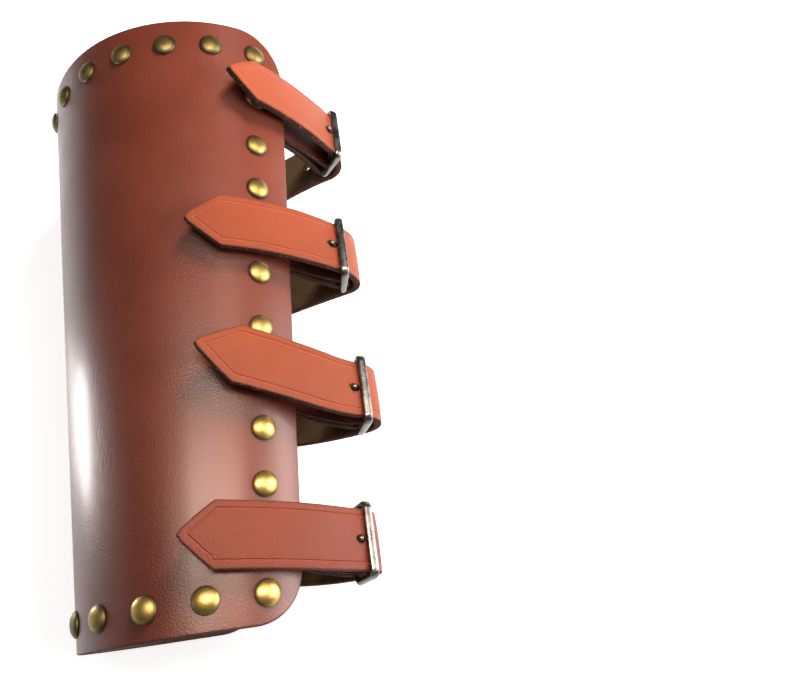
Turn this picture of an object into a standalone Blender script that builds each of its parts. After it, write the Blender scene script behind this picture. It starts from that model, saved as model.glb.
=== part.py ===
"""Leather bracer: a tapered forearm shell closed by four buckled straps.

The bracer lies on the floor (z = 0) on the rivet heads of its flat underside.
+X points to the open side where the buckles are, +Y to the elbow end, +Z up.
Lengths are in metres and angles in degrees. A heading is an angle in the XZ
plane, from +X towards +Z.
"""
from math import cos, radians, sin, tan

import bmesh
import bpy
from mathutils import Matrix, Vector
from mathutils.geometry import interpolate_bezier

# Shell
LENGTH = 0.2375
WALL = 0.003
ELBOW_ROUND = 0.2648        # the elbow section's length if it went once round
WRIST_ROUND = 0.2009
ELBOW_COVER = 0.968         # share of the round that the leather covers
WRIST_COVER = 0.923
ELBOW_CORNER = 0.022        # corner radii of the outline
WRIST_CORNER = 0.018
ELBOW_LEAN = -1.48          # lean of each end's plane from upright
WRIST_LEAN = -4.58
OVER_HEADING = 129.3        # heading of the section where it starts, at the upper edge

# Rivets
HEAD_R = 0.0045
HEAD_FLAT_R = 0.0024
HEAD_H = 0.0015
POST_R = 0.0012
BURR_R = 0.0036
BURR_FLAT_R = 0.0029
BURR_H = 0.0009
RIVET_SIDES = 8
EDGE_MARGIN = 0.0144        # rivet columns from the long edges
ELBOW_MARGIN = 0.0120       # rivet rows from the ends
WRIST_MARGIN = 0.0099
ELBOW_RIVETS = 13
WRIST_RIVETS = 9

# Straps
STRAP_T = 0.0028
STRAP_W = 0.0222
ANCHOR_PAST = 0.0116        # strap inside the shell beyond its rivet
ANCHOR_LIFT = 0.008         # where it starts to rise, from the under edge
LOWER_HEADING = 22.0        # heading of the lower run as it reaches the buckle
REACH = 0.020               # how far the buckles stand off the upper edge
TAIL = 0.069                # the longest tail, from the front bar to the tip
POINT = 0.013               # length of a tail's point
TIP_W = 0.0018              # width left at the tip
SPARE_STEP = 0.030          # strap length from the front bar to the spare hole
SPARE_R = 0.0017

# Chapes, buckles and prongs
CHAPE_T = 0.0020
CHAPE_W = 0.020
CHAPE_PAST = 0.0086         # chape under the shell beyond its rivet
FRAME_LENGTH = 0.016        # middle of the heel bar to middle of the front bar
FRAME_CORNER = 0.0025
BAR_R = 0.0012
PRONG_R = 0.0010
PRONG_END = 0.0013          # how far the prong's end stands out of the strap

# Clearances
GAP = 0.0003
HEAD_GAP = 0.0004           # under a rivet's head
BURR_GAP = 0.0007           # under its burr, inside the shell's curve
LAYER_GAP = 0.0006          # between layers that follow the shell's curve
BAR_GAP = 0.0006            # between a front bar and the strap under it
SIDE_GAP = 0.0007           # between a strap's edge and the buckle's side bar
PRONG_GAP = 0.00045         # round the prong in the strap
SLOT_GAP = 0.0006           # beside the prong in the chape
NOSE_GAP = 0.0012           # between the prong's end and the front bar

# How finely the curved pieces are faceted
AROUND_STEPS = 42
CORNER_STEPS = 4
MIDDLE_STEPS = 3
RUN_STEPS = 9
TAIL_STEPS = 11
LOOP_STEPS = 6
HOLE_SIDES = 8

# The shell's section once round, from the upper edge over the top to the under
# edge: each row's share of the round and how far it turns, as an arc.
SECTION = (
    # share, bend
    (0.08, 21.84),
    (0.11, 27.22),
    (0.13, 29.60),
    (0.14, 32.97),
    (0.14, 54.76),
    (0.14, 64.31),
    (0.16, 0.00),
    (0.10, 12.00),
)

# Rivets of the two long edges between the corners, as shares of the length.
# Those with a strap's name hold its chape and its anchor.
COLUMN = (
    # along, holds
    (0.115, "wrist"),
    (0.189, None),
    (0.271, None),
    (0.350, "lower"),
    (0.430, None),
    (0.523, None),
    (0.600, "upper"),
    (0.676, None),
    (0.760, None),
    (0.855, "elbow"),
)

# The straps. seat_x and seat_z lead from the shell's upper edge to the strap's
# inner face under the front bar, as shares of REACH, and shift moves it towards
# the elbow as a share of STRAP_W. heel is the heading from the front bar to the
# heel bar. The tail leaves the bar at the heading rise, turns by bend, drifts
# sideways by yaw and twists. tail and point are shares of TAIL and POINT.
STRAP_COLUMNS = ("name", "seat_x", "shift", "seat_z", "heel",
                 "rise", "bend", "yaw", "twist", "tail", "point")
STRAPS = (
    ("wrist", 1.00, -0.12, -0.67, -115, 132.0, 35.5, 3.5, -3.8, 0.99, 0.89),
    ("lower", 1.12, -0.22, -0.44, -104, 141.5, 13.9, 12.6, -4.6, 0.94, 1.16),
    ("upper", 0.86, -0.15, -0.46, -97, 135.2, 30.8, 1.7, -3.0, 0.91, 1.02),
    ("elbow", 0.86, 0.13, -1.20, -121, 119.1, 21.1, 1.2, 1.5, 0.86, 0.98),
)

ACROSS = Vector((0.0, 1.0, 0.0))
FOOT = HEAD_H + HEAD_GAP    # the shell's underside stands on its rivet heads
BRASS = ("antique_brass", (0.42, 0.25, 0.08), 0.35, 1.0)
STEEL = ("dark_steel", (0.20, 0.20, 0.21), 0.35, 1.0)
SHELL_LEATHER = ("shell_leather", (0.165, 0.047, 0.026), 0.42, 0.0)
STRAP_LEATHER = ("strap_leather", (0.33, 0.085, 0.033), 0.60, 0.0)
CHAPE_LEATHER = ("chape_leather", (0.10, 0.022, 0.016), 0.60, 0.0)


def clear_scene():
    """Remove every object of the open scene."""
    for obj in list(bpy.data.objects):
        bpy.data.objects.remove(obj, do_unlink=True)


def new_collection(name):
    """Make a collection in the scene."""
    collection = bpy.data.collections.new(name)
    bpy.context.scene.collection.children.link(collection)
    return collection


def new_material(name, colour, roughness, metallic):
    """Make a Principled material."""
    material = bpy.data.materials.new(name)
    material.use_nodes = True
    shader = material.node_tree.nodes["Principled BSDF"]
    shader.inputs["Base Color"].default_value = (*colour, 1.0)
    shader.inputs["Roughness"].default_value = roughness
    shader.inputs["Metallic"].default_value = metallic
    return material


def finish_mesh(name, builder):
    """Turn a bmesh into a mesh and free it."""
    mesh = bpy.data.meshes.new(name)
    builder.to_mesh(mesh)
    builder.free()
    return mesh


def add_object(name, mesh, collection, material=None):
    """Put a mesh in a collection as a named object."""
    obj = bpy.data.objects.new(name, mesh)
    collection.objects.link(obj)
    if material and not mesh.materials:
        mesh.materials.append(material)
    return obj


def cut(obj, name, builder, cutters):
    """Take a bmesh out of the object with a Boolean."""
    cutter = add_object(name, finish_mesh(name, builder), cutters)
    cutter.hide_render = True
    cutter.display_type = "WIRE"
    boolean = obj.modifiers.new("cut_" + name, "BOOLEAN")
    boolean.operation = "DIFFERENCE"
    boolean.solver = "EXACT"
    boolean.object = cutter


def frame_at(point, way):
    """Matrix with its origin at a point and +Z along a way."""
    return Matrix.Translation(point) @ way.to_track_quat("Z", "Y").to_matrix().to_4x4()


def add_hole(builder, point, way, radius, depth, sides):
    """Add a round cutter to a bmesh, centred on a point along a way."""
    bmesh.ops.create_cone(builder, cap_ends=True, segments=sides, radius1=radius,
                          radius2=radius, depth=depth, matrix=frame_at(point, way))


def direction(heading, drift=0.0):
    """Unit vector at a heading, turned out of the XZ plane by drift."""
    flat = cos(radians(drift))
    return Vector((cos(radians(heading)) * flat, sin(radians(drift)),
                   sin(radians(heading)) * flat))


def right_of(heading):
    """Unit vector in the XZ plane to the right of a heading."""
    return direction(heading - 90.0)


# The shell's surface

def unit_section(share):
    """Place and heading on the section of round length 1 at a share of it."""
    x, z, heading = 0.0, 0.0, OVER_HEADING
    for width, bend in SECTION:
        part = min(share, width)
        turn = bend * part / width
        chord = part
        if turn:
            chord = part * sin(radians(turn / 2)) / radians(turn / 2)
        x += chord * cos(radians(heading + turn / 2))
        z += chord * sin(radians(heading + turn / 2))
        heading += turn
        share -= part
        if share <= 0:
            break
    return x, z, heading


def section_frame(samples=200):
    """Middle in x and lowest z of the unit section."""
    places = [unit_section(i / samples) for i in range(samples + 1)]
    return min(place[0] for place in places) / 2, min(place[1] for place in places)


MIDDLE, LOWEST = section_frame()


def round_length(along):
    """Round length of the section at a share of the length."""
    return WRIST_ROUND + (ELBOW_ROUND - WRIST_ROUND) * along


def girth(along):
    """Length of leather from the upper edge to the under edge."""
    wrist = WRIST_ROUND * WRIST_COVER
    return wrist + (ELBOW_ROUND * ELBOW_COVER - wrist) * along


def shell_heading(around, along):
    """Heading of the section at a place of the shell."""
    return unit_section(around / round_length(along))[2]


def shell_point(around, along, depth=0.0):
    """Point at a depth under the outer surface.

    around is the length from the upper edge, along the share of the length.
    """
    size = round_length(along)
    x, z, heading = unit_section(around / size)
    out = right_of(heading)
    x = (x - MIDDLE) * size - out.x * depth
    z = (z - LOWEST) * size + FOOT - out.z * depth
    lean = tan(radians(WRIST_LEAN)) * (1 - along) + tan(radians(ELBOW_LEAN)) * along
    return Vector((x, (along - 0.5) * LENGTH + z * lean, z))


def long_way(around, along, step=0.001):
    """Direction of the shell's surface towards the elbow."""
    return (shell_point(around, along + step) - shell_point(around, along - step)).normalized()


def shell_normal(around, along, step=0.001):
    """Outward direction of the shell's surface."""
    round_way = shell_point(around + step, along) - shell_point(around - step, along)
    return long_way(around, along).cross(round_way).normalized()


def corner_row(corner, step):
    """Distance from the end and inset of a row that crosses a rounded corner."""
    angle = radians(90 * step / CORNER_STEPS)
    return corner * (1 - cos(angle)), corner * (1 - sin(angle))


def shell_rows():
    """Share of the length and inset from the long edges of each row of points."""
    wrist = [corner_row(WRIST_CORNER, i) for i in range(CORNER_STEPS + 1)]
    elbow = [corner_row(ELBOW_CORNER, i) for i in range(CORNER_STEPS + 1)]
    first, last = WRIST_CORNER / LENGTH, 1 - ELBOW_CORNER / LENGTH
    middle = [first + (last - first) * i / MIDDLE_STEPS for i in range(1, MIDDLE_STEPS)]
    return ([(away / LENGTH, inset) for away, inset in wrist]
            + [(along, 0.0) for along in middle]
            + [(1 - away / LENGTH, inset) for away, inset in reversed(elbow)])


def add_rivet_hole(builder, around, along, depth, reach, sides):
    """Add a cutter to a bmesh for a rivet's post through a layer at a depth."""
    normal = shell_normal(around, along)
    middle = shell_point(around, along) - normal * depth
    add_hole(builder, middle, normal, POST_R + GAP, reach, sides)


def make_shell(collection, cutters, material):
    """Loft the outer surface, give it its wall and punch the rivet holes."""
    builder = bmesh.new()
    grid = []
    for along, inset in shell_rows():
        width = girth(along) - 2 * inset
        grid.append([builder.verts.new(shell_point(inset + width * i / AROUND_STEPS, along))
                     for i in range(AROUND_STEPS + 1)])
    for lower, upper in zip(grid, grid[1:]):
        for i in range(AROUND_STEPS):
            builder.faces.new((lower[i], upper[i], upper[i + 1], lower[i + 1]))
    mesh = finish_mesh("shell", builder)
    mesh.shade_smooth()
    shell = add_object("shell", mesh, collection, material)
    solidify = shell.modifiers.new("wall", "SOLIDIFY")
    solidify.thickness = WALL
    solidify.offset = -1.0
    solidify.use_even_offset = True
    holes = bmesh.new()
    for _, around, along, _ in rivet_places():
        add_rivet_hole(holes, around, along, WALL / 2, WALL * 3, RIVET_SIDES)
    cut(shell, "shell_holes", holes, cutters)


# Rivets

def rivet_places():
    """Every rivet: its name, length around, share along and what it holds."""
    places = []
    for name, along, count in (("elbow", 1 - ELBOW_MARGIN / LENGTH, ELBOW_RIVETS),
                               ("wrist", WRIST_MARGIN / LENGTH, WRIST_RIVETS)):
        span = girth(along) - 2 * EDGE_MARGIN
        for i in range(count):
            around = EDGE_MARGIN + span * i / (count - 1)
            places.append((f"rivet_{name}_{i + 1}", around, along, None))
    for i, (along, holds) in enumerate(COLUMN):
        places.append((f"rivet_over_{i + 1}", EDGE_MARGIN, along, holds and "chape"))
        places.append((f"rivet_under_{i + 1}", girth(along) - EDGE_MARGIN, along,
                       holds and "strap"))
    return places


def rivet_mesh(name, stack, material):
    """Half profile of a domed rivet that clamps a stack, from top to bottom."""
    top = HEAD_GAP + HEAD_H
    under = -stack - BURR_GAP
    profile = ((0.0, top), (HEAD_FLAT_R, top), (HEAD_R, HEAD_GAP), (POST_R, HEAD_GAP),
               (POST_R, under), (BURR_R, under), (BURR_FLAT_R, under - BURR_H),
               (0.0, under - BURR_H))
    builder = bmesh.new()
    verts = [builder.verts.new((x, 0.0, z)) for x, z in profile]
    for a, b in zip(verts, verts[1:]):
        builder.edges.new((a, b))
    mesh = finish_mesh(name, builder)
    mesh.materials.append(material)
    return mesh


def make_rivets(collection, material):
    """One turned rivet at each place, with a mesh for each stack it holds."""
    stacks = {
        None: WALL,
        "chape": WALL + 2 * (LAYER_GAP + CHAPE_T),
        "strap": WALL + LAYER_GAP + STRAP_T,
    }
    meshes = {holds: rivet_mesh(f"rivet_{holds or 'plain'}", stack, material)
              for holds, stack in stacks.items()}
    for name, around, along, holds in rivet_places():
        rivet = add_object(name, meshes[holds], collection)
        rivet.matrix_world = frame_at(shell_point(around, along), shell_normal(around, along))
        screw = rivet.modifiers.new("turn", "SCREW")
        screw.steps = RIVET_SIDES
        screw.render_steps = RIVET_SIDES
        screw.use_merge_vertices = True
        screw.merge_threshold = 0.00001
        screw.use_smooth_shade = False


# Bands of leather

def bezier(start, start_way, end, end_way, start_reach, end_reach, steps):
    """Points from start to end that leave and arrive in the given ways."""
    return interpolate_bezier(start, start + start_way * start_reach,
                              end - end_way * end_reach, end, steps + 1)


def arc_reach(start, end, turn):
    """Handle length that makes a bezier between two points near to an arc."""
    half = radians(turn) / 2
    radius = (end - start).length / (2 * sin(half))
    return radius * 4 / 3 * tan(half / 2)


def walk(route, distance):
    """Point and way at a distance along a route."""
    for before, after in zip(route, route[1:]):
        step = (after - before).length
        if distance <= step:
            break
        distance -= step
    return before.lerp(after, distance / step), (after - before).normalized()


def side_ways(route, twist=0.0, twist_from=0, twist_steps=3):
    """Unit vector across the band at each point, which may twist after a point."""
    sides = []
    for i in range(len(route)):
        way = (route[min(i + 1, len(route) - 1)] - route[max(i - 1, 0)]).normalized()
        side = (ACROSS - way * way.y).normalized()
        turn = twist * min(1.0, max(0, i - twist_from) / twist_steps)
        sides.append(Matrix.Rotation(radians(turn), 3, way) @ side)
    return sides


def make_band(name, route, sides, widths, thickness, collection, material):
    """Band along a route: an open strip with Solidify, centred on the route."""
    builder = bmesh.new()
    rungs = [(builder.verts.new(point - side * width / 2),
              builder.verts.new(point + side * width / 2))
             for point, side, width in zip(route, sides, widths)]
    for (a, b), (c, d) in zip(rungs, rungs[1:]):
        builder.faces.new((a, b, d, c))
    mesh = finish_mesh(name, builder)
    mesh.shade_smooth()
    band = add_object(name, mesh, collection, material)
    solidify = band.modifiers.new("thickness", "SOLIDIFY")
    solidify.thickness = thickness
    solidify.offset = 0.0
    solidify.use_even_offset = True
    return band


# Straps

def rivet_along(name):
    """Share of the length at which a strap's rivets sit."""
    return next(along for along, holds in COLUMN if holds == name)


def bars(strap):
    """Middles of a strap's front bar and heel bar."""
    edge = shell_point(0.0, rivet_along(strap["name"]))
    seat = edge + Vector((strap["seat_x"] * REACH, strap["shift"] * STRAP_W,
                          strap["seat_z"] * REACH + FOOT))
    front = seat + right_of(strap["rise"]) * (STRAP_T + BAR_GAP + BAR_R)
    return front, front + direction(strap["heel"]) * FRAME_LENGTH


def strap_run(strap):
    """Middle line from the anchor inside the shell, round the heel, to the front bar."""
    along = rivet_along(strap["name"])
    front, heel = bars(strap)
    depth = WALL + LAYER_GAP + STRAP_T / 2
    first = girth(along) - EDGE_MARGIN - ANCHOR_PAST
    last = girth(along) - ANCHOR_LIFT
    anchor = [shell_point(first + (last - first) * i / 2, along, depth) for i in range(3)]
    leave = direction(shell_heading(last, along))
    arrive = direction(LOWER_HEADING)
    bottom = heel + right_of(LOWER_HEADING) * (
        BAR_R + GAP + CHAPE_T + LAYER_GAP + STRAP_T / 2)
    top = front - right_of(strap["rise"]) * (BAR_R + BAR_GAP + STRAP_T / 2)
    span = (bottom - anchor[-1]).length
    lower = bezier(anchor[-1], leave, bottom, arrive, 0.1 * span, 0.4 * span, RUN_STEPS)
    reach = arc_reach(bottom, top, strap["rise"] - LOWER_HEADING)
    fold = bezier(bottom, arrive, top, direction(strap["rise"]), reach, reach, RUN_STEPS)
    return anchor + lower[1:] + fold[1:]


def strap_tail(strap):
    """Middle line from the front bar to the tip: an arc that drifts sideways."""
    front, _ = bars(strap)
    length = strap["tail"] * TAIL / TAIL_STEPS
    points = [front - right_of(strap["rise"]) * (BAR_R + BAR_GAP + STRAP_T / 2)]
    for i in range(TAIL_STEPS):
        share = (i + 0.5) / TAIL_STEPS
        drift = strap["yaw"] * min(1.0, share * 4)
        points.append(points[-1] + direction(strap["rise"] + strap["bend"] * share, drift) * length)
    return points


def prong_shank(strap):
    """Start beside the heel bar and end of the prong's straight shank."""
    _, heel = bars(strap)
    hole, way = walk(strap_tail(strap), BAR_R + PRONG_R + NOSE_GAP)
    top = hole + right_of(strap["rise"]) * STRAP_T / 2
    shank = (top - heel).normalized()
    base = heel - shank.cross(ACROSS).normalized() * (BAR_R + GAP + PRONG_R)
    return base, top + shank * PRONG_END


def make_strap(strap, collection, cutters, material):
    """Long strap with a pointed tail and its anchor, prong and spare holes."""
    name = strap["name"]
    run, tail = strap_run(strap), strap_tail(strap)
    tail_length, point_length = strap["tail"] * TAIL, strap["point"] * POINT
    shoulder = tail_length - point_length
    straight = int(shoulder / tail_length * TAIL_STEPS - 0.2)
    points = run + tail[1:straight + 1]
    widths = [STRAP_W] * len(points)
    for share in (0.0, 0.5, 0.93, 1.0):
        points.append(walk(tail, shoulder + point_length * share * 0.9999)[0])
        widths.append(STRAP_W + (TIP_W - STRAP_W) * share ** 1.1)
    sides = side_ways(points, strap["twist"], len(run) - 1)
    band = make_band(f"strap_{name}", points, sides, widths, STRAP_T, collection, material)
    base, end = prong_shank(strap)
    prong_hole = bmesh.new()
    add_hole(prong_hole, end, end - base, PRONG_R + PRONG_GAP, STRAP_T * 7, HOLE_SIDES)
    cut(band, f"prong_hole_{name}", prong_hole, cutters)
    spare, way = walk(run[::-1], SPARE_STEP)
    spare_hole = bmesh.new()
    add_hole(spare_hole, spare, way.cross(ACROSS), SPARE_R, STRAP_T * 3, HOLE_SIDES)
    cut(band, f"spare_hole_{name}", spare_hole, cutters)
    along = rivet_along(name)
    around = girth(along) - EDGE_MARGIN
    depth = WALL + LAYER_GAP + STRAP_T / 2
    anchor_hole = bmesh.new()
    add_rivet_hole(anchor_hole, around, along, depth, STRAP_T * 3, HOLE_SIDES)
    cut(band, f"anchor_hole_{name}", anchor_hole, cutters)


# Chapes

def make_chape(strap, collection, cutters, material):
    """Short doubled strap under the upper edge, folded round the heel bar."""
    name = strap["name"]
    along = rivet_along(name)
    _, heel = bars(strap)
    apart = (CHAPE_T + LAYER_GAP) / 2
    depth = WALL + LAYER_GAP + CHAPE_T / 2 + apart
    hold = EDGE_MARGIN + CHAPE_PAST
    upper = [shell_point(hold * (1 - i / 3), along, depth - apart) for i in range(4)]
    lower = [shell_point(hold * i / 3, along, depth + apart) for i in range(4)]
    edge = shell_point(0.0, along, depth)
    out = Vector((heel.x - edge.x, 0.0, heel.z - edge.z)).normalized()
    side = out.cross(ACROSS).normalized()
    loop_r = BAR_R + GAP + CHAPE_T / 2
    turns = [radians(180 * i / LOOP_STEPS) for i in range(LOOP_STEPS + 1)]
    loop = [heel + side * (loop_r * cos(a)) + out * (loop_r * sin(a)) for a in turns]
    span = (heel - edge).length
    leave = direction(shell_heading(0.0, along) + 180)
    middle = bezier(edge, leave, heel - out * BAR_R, out, 0.3 * span, 0.4 * span, 3)
    going, coming = [], []
    for i in (1, 2, 3):
        way = (middle[min(i + 1, 3)] - middle[i - 1]).normalized()
        half = way.cross(ACROSS).normalized() * (apart + (loop_r - apart) * (i / 3) ** 1.5)
        going.append(middle[i] + half)
        coming.insert(0, middle[i] - half)
    route = upper + going + loop + coming + lower
    sides = side_ways(route)
    slope = long_way(0.0, along)
    for i in range(7):
        lean = min(1.0, (7 - i) / 4)
        sides[i] = sides[i].lerp(slope, lean).normalized()
        sides[-1 - i] = sides[-1 - i].lerp(slope, lean).normalized()
    widths = [CHAPE_W] * len(route)
    chape = make_band(f"chape_{name}", route, sides, widths, CHAPE_T, collection, material)
    hole = bmesh.new()
    add_rivet_hole(hole, EDGE_MARGIN, along, depth, CHAPE_T * 6, HOLE_SIDES)
    cut(chape, f"chape_hole_{name}", hole, cutters)
    loop_outer = BAR_R + GAP + CHAPE_T
    slot = bmesh.new()
    size = (2 * (PRONG_R + SLOT_GAP), 4 * loop_outer, 4 * loop_outer)
    bmesh.ops.create_cube(slot, size=1.0, matrix=Matrix.LocRotScale(
        heel - out * BAR_R, out.to_track_quat("Z", "Y"), size))
    cut(chape, f"slot_{name}", slot, cutters)


# Buckles and prongs

def make_tube(name, points, radius, sides, closed, collection, material):
    """Round bar along points: a bevelled curve made into a welded mesh."""
    curve = bpy.data.curves.new(name, "CURVE")
    curve.dimensions = "3D"
    curve.bevel_depth = radius
    curve.bevel_resolution = sides // 2 - 2
    curve.use_fill_caps = not closed
    spline = curve.splines.new("POLY")
    spline.points.add(len(points) - 1)
    for target, point in zip(spline.points, points):
        target.co = (*point, 1.0)
    spline.use_cyclic_u = closed
    guide = bpy.data.objects.new(name + "_line", curve)
    bpy.context.scene.collection.objects.link(guide)
    bpy.context.view_layer.update()
    shape = guide.evaluated_get(bpy.context.evaluated_depsgraph_get())
    builder = bmesh.new()
    builder.from_mesh(bpy.data.meshes.new_from_object(shape))
    bpy.data.objects.remove(guide, do_unlink=True)
    bmesh.ops.remove_doubles(builder, verts=builder.verts, dist=0.00001)
    bmesh.ops.recalc_face_normals(builder, faces=builder.faces)
    mesh = finish_mesh(name, builder)
    mesh.shade_smooth()
    mesh.set_sharp_from_angle(angle=radians(50))
    return add_object(name, mesh, collection, material)


def make_buckle(strap, collection, material):
    """Rounded rectangle of round bar, from the heel bar to the front bar."""
    front, heel = bars(strap)
    up = (front - heel).normalized()
    half_width = STRAP_W / 2 + SIDE_GAP + BAR_R - FRAME_CORNER
    half_height = FRAME_LENGTH / 2 - FRAME_CORNER
    points = []
    for quarter, (right, above) in enumerate(((1, -1), (1, 1), (-1, 1), (-1, -1))):
        centre = (front + heel) / 2 + ACROSS * right * half_width + up * above * half_height
        for i in range(4):
            angle = radians(-90 + 90 * quarter + 30 * i)
            points.append(centre + (ACROSS * cos(angle) + up * sin(angle)) * FRAME_CORNER)
    make_tube(f"buckle_{strap['name']}", points, BAR_R, 8, True, collection, material)


def make_prong(strap, collection, material):
    """Wire hooked round the heel bar, with its shank up through the strap."""
    _, heel = bars(strap)
    base, end = prong_shank(strap)
    shank = (end - base).normalized()
    side = (base - heel).normalized()
    hook_r = BAR_R + GAP + PRONG_R
    turns = [radians(a) for a in range(240, -1, -40)]
    hook = [heel + (side * cos(a) - shank * sin(a)) * hook_r for a in turns]
    make_tube(f"prong_{strap['name']}", hook + [end], PRONG_R, 6, False, collection, material)


def centre_on_origin(pieces, cutters):
    """Shift everything so that the bracer's box is centred over the origin."""
    bpy.context.view_layer.update()
    depsgraph = bpy.context.evaluated_depsgraph_get()
    corners = []
    for obj in pieces.objects:
        shape = obj.evaluated_get(depsgraph)
        corners += [shape.matrix_world @ vertex.co for vertex in shape.data.vertices]
    shift = Vector([-(min(c[i] for c in corners) + max(c[i] for c in corners)) / 2
                    for i in (0, 1)] + [0.0])
    for obj in list(pieces.objects) + list(cutters.objects):
        obj.location += shift


def main():
    clear_scene()
    pieces = new_collection("leather_bracer")
    cutters = new_collection("cutters")
    steel = new_material(*STEEL)
    strap_leather = new_material(*STRAP_LEATHER)
    chape_leather = new_material(*CHAPE_LEATHER)
    make_shell(pieces, cutters, new_material(*SHELL_LEATHER))
    make_rivets(pieces, new_material(*BRASS))
    for row in STRAPS:
        strap = dict(zip(STRAP_COLUMNS, row))
        make_strap(strap, pieces, cutters, strap_leather)
        make_chape(strap, pieces, cutters, chape_leather)
        make_buckle(strap, pieces, steel)
        make_prong(strap, pieces, steel)
    centre_on_origin(pieces, cutters)


main()
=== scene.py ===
"""Looks of a leather bracer: a riveted forearm shell with four buckled straps.

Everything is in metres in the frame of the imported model: +X to the open side
with the buckles, +Y to the elbow end, +Z up. A heading is an angle in degrees
in the XZ plane, from +X towards +Z. Leather is cut flat and then laid on its
surface: 'across' and 'along' are its flat coordinates, and 'depth' goes from
the grain side into the leather. On the shell, 'around' is the length from the
upper edge and 'along' the share of the way from the wrist end to the elbow end.
"""

import bpy
import numpy as np
from mathutils import Matrix, Vector


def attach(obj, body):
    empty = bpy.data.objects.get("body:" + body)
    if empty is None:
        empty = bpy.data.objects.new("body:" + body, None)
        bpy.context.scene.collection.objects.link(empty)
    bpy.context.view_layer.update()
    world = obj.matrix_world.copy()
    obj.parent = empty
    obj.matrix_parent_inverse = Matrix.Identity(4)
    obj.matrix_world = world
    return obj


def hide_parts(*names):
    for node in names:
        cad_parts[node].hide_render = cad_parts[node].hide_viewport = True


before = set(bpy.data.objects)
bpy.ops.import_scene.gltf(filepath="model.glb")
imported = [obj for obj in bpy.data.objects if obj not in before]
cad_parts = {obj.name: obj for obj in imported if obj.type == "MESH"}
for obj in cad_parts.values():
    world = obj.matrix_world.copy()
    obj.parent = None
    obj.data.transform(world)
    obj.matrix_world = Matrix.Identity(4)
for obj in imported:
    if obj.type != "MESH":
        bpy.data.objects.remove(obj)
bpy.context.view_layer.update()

# Sizes of the solids. A cover is the share of the round length that has leather,
# a margin the distance of rivets from an edge, and a gap the air between two
# neighbours. Leans and headings are in degrees.
LENGTH = 0.2375
WALL = 0.003
ELBOW_ROUND = 0.2648
WRIST_ROUND = 0.2009
ELBOW_COVER = 0.968
WRIST_COVER = 0.923
ELBOW_CORNER = 0.022
WRIST_CORNER = 0.018
ELBOW_LEAN = -1.48
WRIST_LEAN = -4.58
OVER_HEADING = 129.3
HEAD_H = 0.0015
HEAD_GAP = 0.0004
BURR_R = 0.0036
BURR_H = 0.0009
BURR_GAP = 0.0007
POST_R = 0.0012
EDGE_MARGIN = 0.0144
ELBOW_MARGIN = 0.0120
WRIST_MARGIN = 0.0099
ELBOW_RIVETS = 13
WRIST_RIVETS = 9
STRAP_T = 0.0028
STRAP_W = 0.0222
ANCHOR_PAST = 0.0116
ANCHOR_LIFT = 0.008
LOWER_HEADING = 22.0
REACH = 0.020
TAIL = 0.069
POINT = 0.013
TIP_W = 0.0018
SPARE_STEP = 0.030
SPARE_R = 0.0017
CHAPE_T = 0.0020
CHAPE_W = 0.020
CHAPE_PAST = 0.0086
FRAME_LENGTH = 0.016
FRAME_CORNER = 0.0025
BAR_R = 0.0012
PRONG_R = 0.0010
PRONG_END = 0.0013
GAP = 0.0003
LAYER_GAP = 0.0006
BAR_GAP = 0.0006
SIDE_GAP = 0.0007
PRONG_GAP = 0.00045
SLOT_GAP = 0.0006
NOSE_GAP = 0.0012
SHIFT = np.array((-0.01012, 0.00277, 0.0))   # puts the bracer's box over the origin

SECTION = np.array((
    # share, bend
    (0.08, 21.84),
    (0.11, 27.22),
    (0.13, 29.60),
    (0.14, 32.97),
    (0.14, 54.76),
    (0.14, 64.31),
    (0.16, 0.00),
    (0.10, 12.00),
))
COLUMN = (
    # along, holds
    (0.115, "wrist"),
    (0.189, None),
    (0.271, None),
    (0.350, "lower"),
    (0.430, None),
    (0.523, None),
    (0.600, "upper"),
    (0.676, None),
    (0.760, None),
    (0.855, "elbow"),
)
# Each row: the fold's place off the shell's edge, in shares of REACH, STRAP_W and
# REACH; the headings of the buckle and of the tail at the front bar; the tail's
# bend, yaw and twist in degrees; and its length and point in shares of TAIL and POINT
STRAP_COLUMNS = ("name", "seat_x", "shift", "seat_z", "heel",
                 "rise", "bend", "yaw", "twist", "tail", "point")
STRAPS = (
    ("wrist", 1.00, -0.12, -0.67, -115, 132.0, 35.5, 3.5, -3.8, 0.99, 0.89),
    ("lower", 1.12, -0.22, -0.44, -104, 141.5, 13.9, 12.6, -4.6, 0.94, 1.16),
    ("upper", 0.86, -0.15, -0.46, -97, 135.2, 30.8, 1.7, -3.0, 0.91, 1.02),
    ("elbow", 0.86, 0.13, -1.20, -121, 119.1, 21.1, 1.2, 1.5, 0.86, 0.98),
)

# Sizes that only the looks have
EDGE_ROUND = 0.0007         # rounding of a cut edge
EDGE_POWER = 2.6            # 2 is a round edge, more is squarer
DOME_R = 0.0046             # radius of a rivet's head
DOME_H = 0.0021             # its height over the leather
RIM_H = 0.0007              # height of its rim
RIM_START = 0.9             # share of the radius where the dome meets the rim
DOME_DROP = 0.9             # share of the height over the rim that the dome falls
DOME_POWER = 2.4            # 2 is a round dome, more is flatter on top
DENT = 0.00018              # how far a rivet presses the leather in
DENT_R = 0.0062             # how far that reaches
STRAP_CROWN = 0.0003        # how much a strap is proud along its middle
CREASE_IN = 0.0029          # crease line from a strap's edges
FRONT_WIDE = 0.00165        # half width of a buckle's flattened front bar
FRONT_THIN = 0.00100        # half its thickness
FRONT_SQUARE = 0.8          # how much squarer than an ellipse it is
TWIST_RUN = 0.018           # length of tail over which its twist comes in
LEAN_RUN = 0.012            # length of chape over which its sides turn to the shell's
COLUMN_GIRTH = 0.24         # girth for which the shell's columns are spaced

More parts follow.
